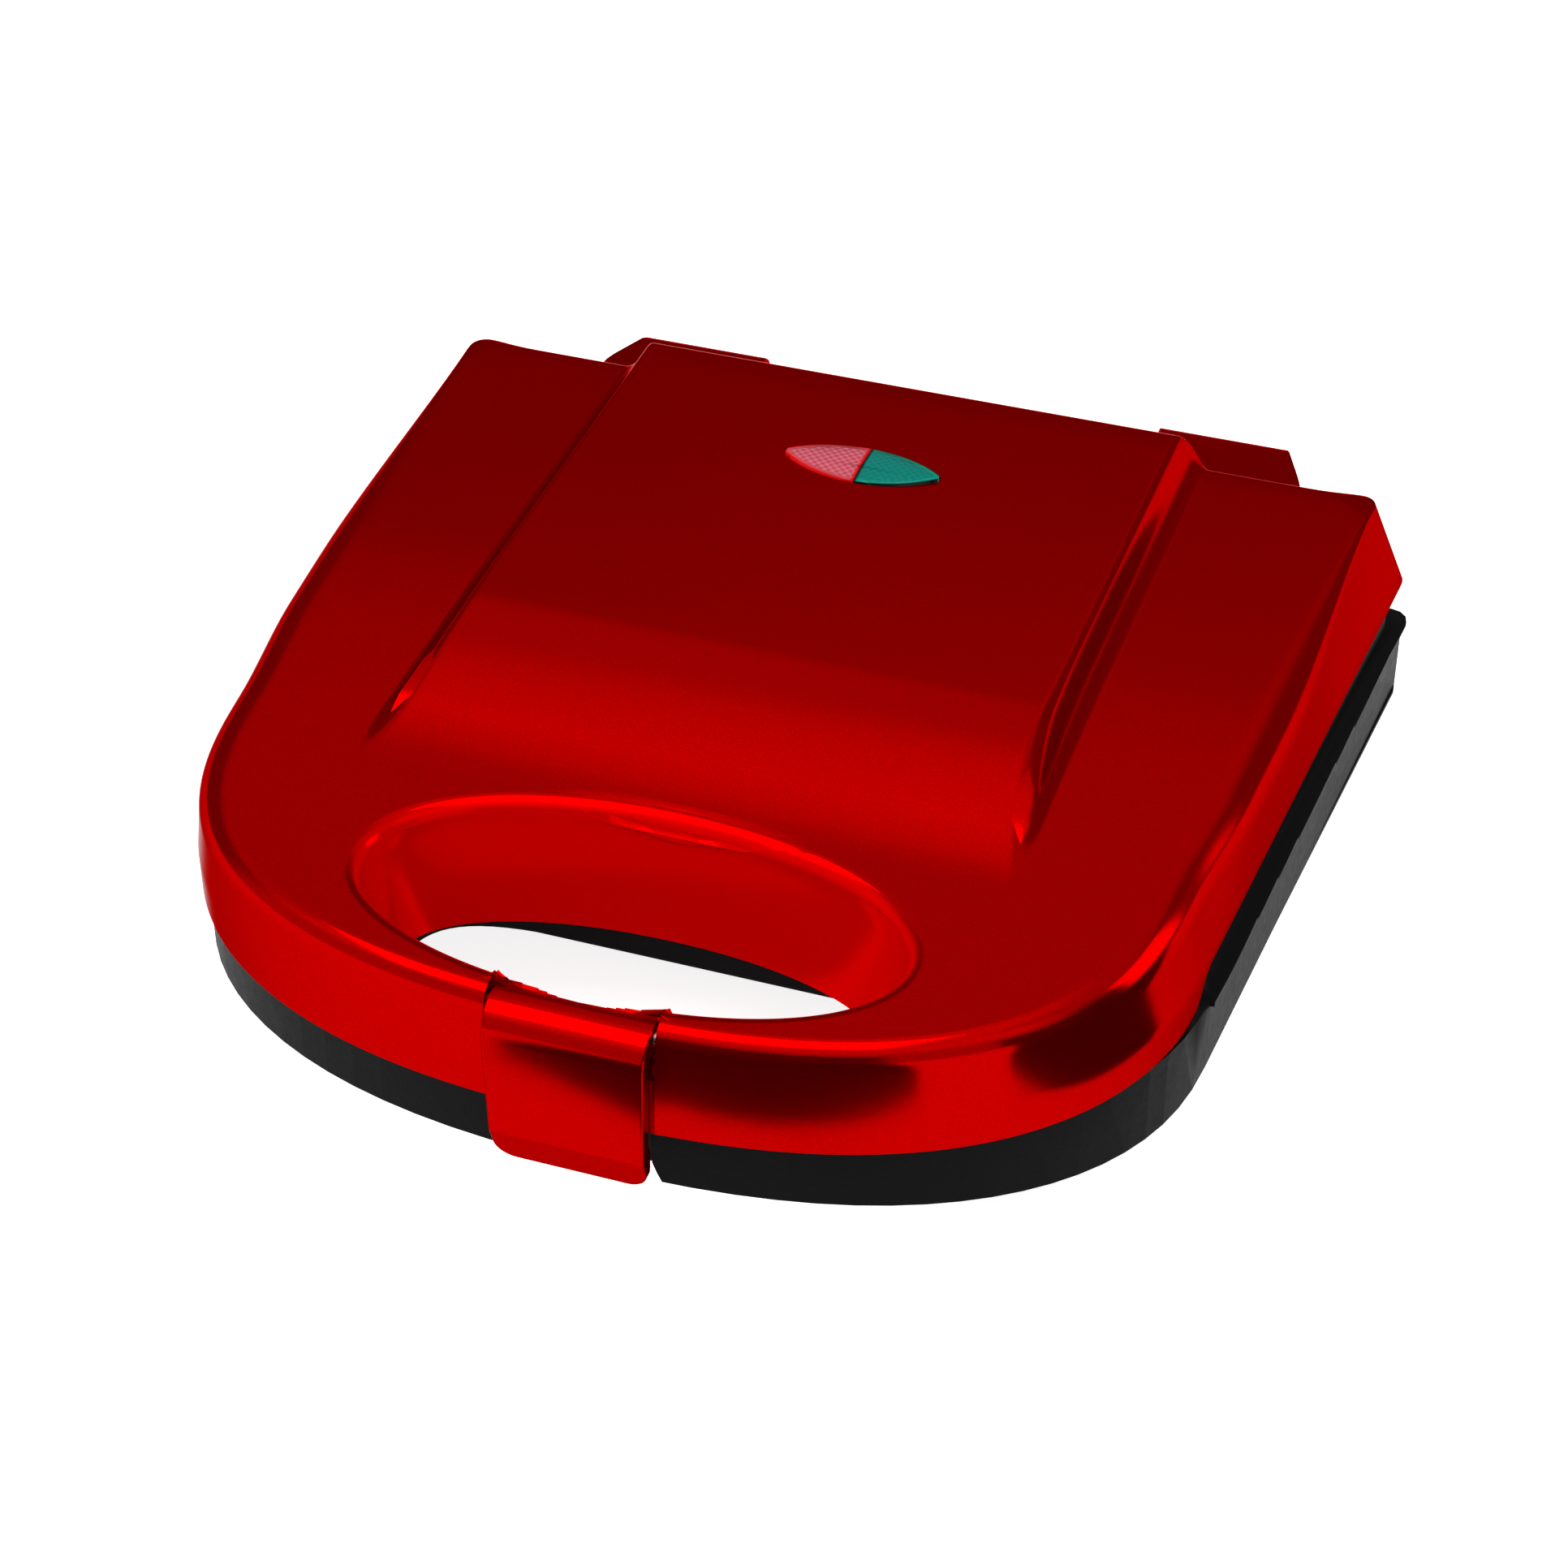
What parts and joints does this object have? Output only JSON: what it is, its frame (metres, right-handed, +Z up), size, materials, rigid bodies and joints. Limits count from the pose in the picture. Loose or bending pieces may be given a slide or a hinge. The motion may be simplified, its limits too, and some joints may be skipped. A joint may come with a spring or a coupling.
{
  "type": "donut maker",
  "caption": "Hinged electric donut maker with a rounded handle hole, raised lid panel, indicator window and a swing-out latch clip.",
  "frame": {"origin": "middle of the overall box, on the surface that the feet stand on", "axes": "+X to the appliance's left-right, right seen from the front; -Y towards the handle and latch; +Z up"},
  "size_m": [0.2256, 0.2504, 0.0703],
  "materials": {
    "red_plastic": "high gloss metallic red",
    "black_plastic": "satin black",
    "coated_plate": "dark non-stick coat",
    "heater_steel": "dull steel sheath",
    "bright_sheet": "bright sheet",
    "screw_steel": "plated",
    "white_plastic": "matt",
    "ceramic_white": "matt",
    "foot_rubber": "matt",
    "rose_lens": "clear moulded with a fine diamond pattern",
    "green_lens": "clear moulded with a fine diamond pattern",
    "lamp_glass": "clear glass"
  },
  "bodies": {
    "base": {"lower_housing": "black_plastic", "lower_plate": "coated_plate", "lower_heater": "heater_steel", "lower_reflector": "bright_sheet", "lower_plate_screws": "screw_steel", "lower_reflector_screws": "screw_steel", "thermostat": "ceramic_white", "thermal_fuse": "ceramic_white", "terminal_block": "white_plastic", "cord_clamp": "black_plastic", "cord_clamp_screws": "screw_steel", "foot_front_left": "foot_rubber", "foot_front_right": "foot_rubber", "foot_rear_left": "foot_rubber", "foot_rear_right": "foot_rubber", "hinge_pin_left": "screw_steel", "hinge_pin_right": "screw_steel"},
    "lid": {"upper_housing": "red_plastic", "upper_plate": "coated_plate", "upper_heater": "heater_steel", "upper_reflector": "bright_sheet", "upper_plate_screws": "screw_steel", "upper_reflector_screws": "screw_steel", "red_lens": "rose_lens", "green_lens": "green_lens", "lamp_holder": "white_plastic", "red_lamp": "lamp_glass", "green_lamp": "lamp_glass", "latch_pin": "screw_steel"},
    "latch": {"latch_clip": "red_plastic"}
  },
  "joints": [
    {"name": "lid_hinge", "type": "hinge", "parent": "base", "child": "lid", "pos_m": [0, 0.106, 0.0345], "axis": [-1, 0, 0], "range_deg": [0, 100]},
    {"name": "latch_pivot", "type": "hinge", "parent": "lid", "child": "latch", "pos_m": [0, -0.1186, 0.0543], "axis": [-1, 0, 0], "range_deg": [0, 75]}
  ]
}
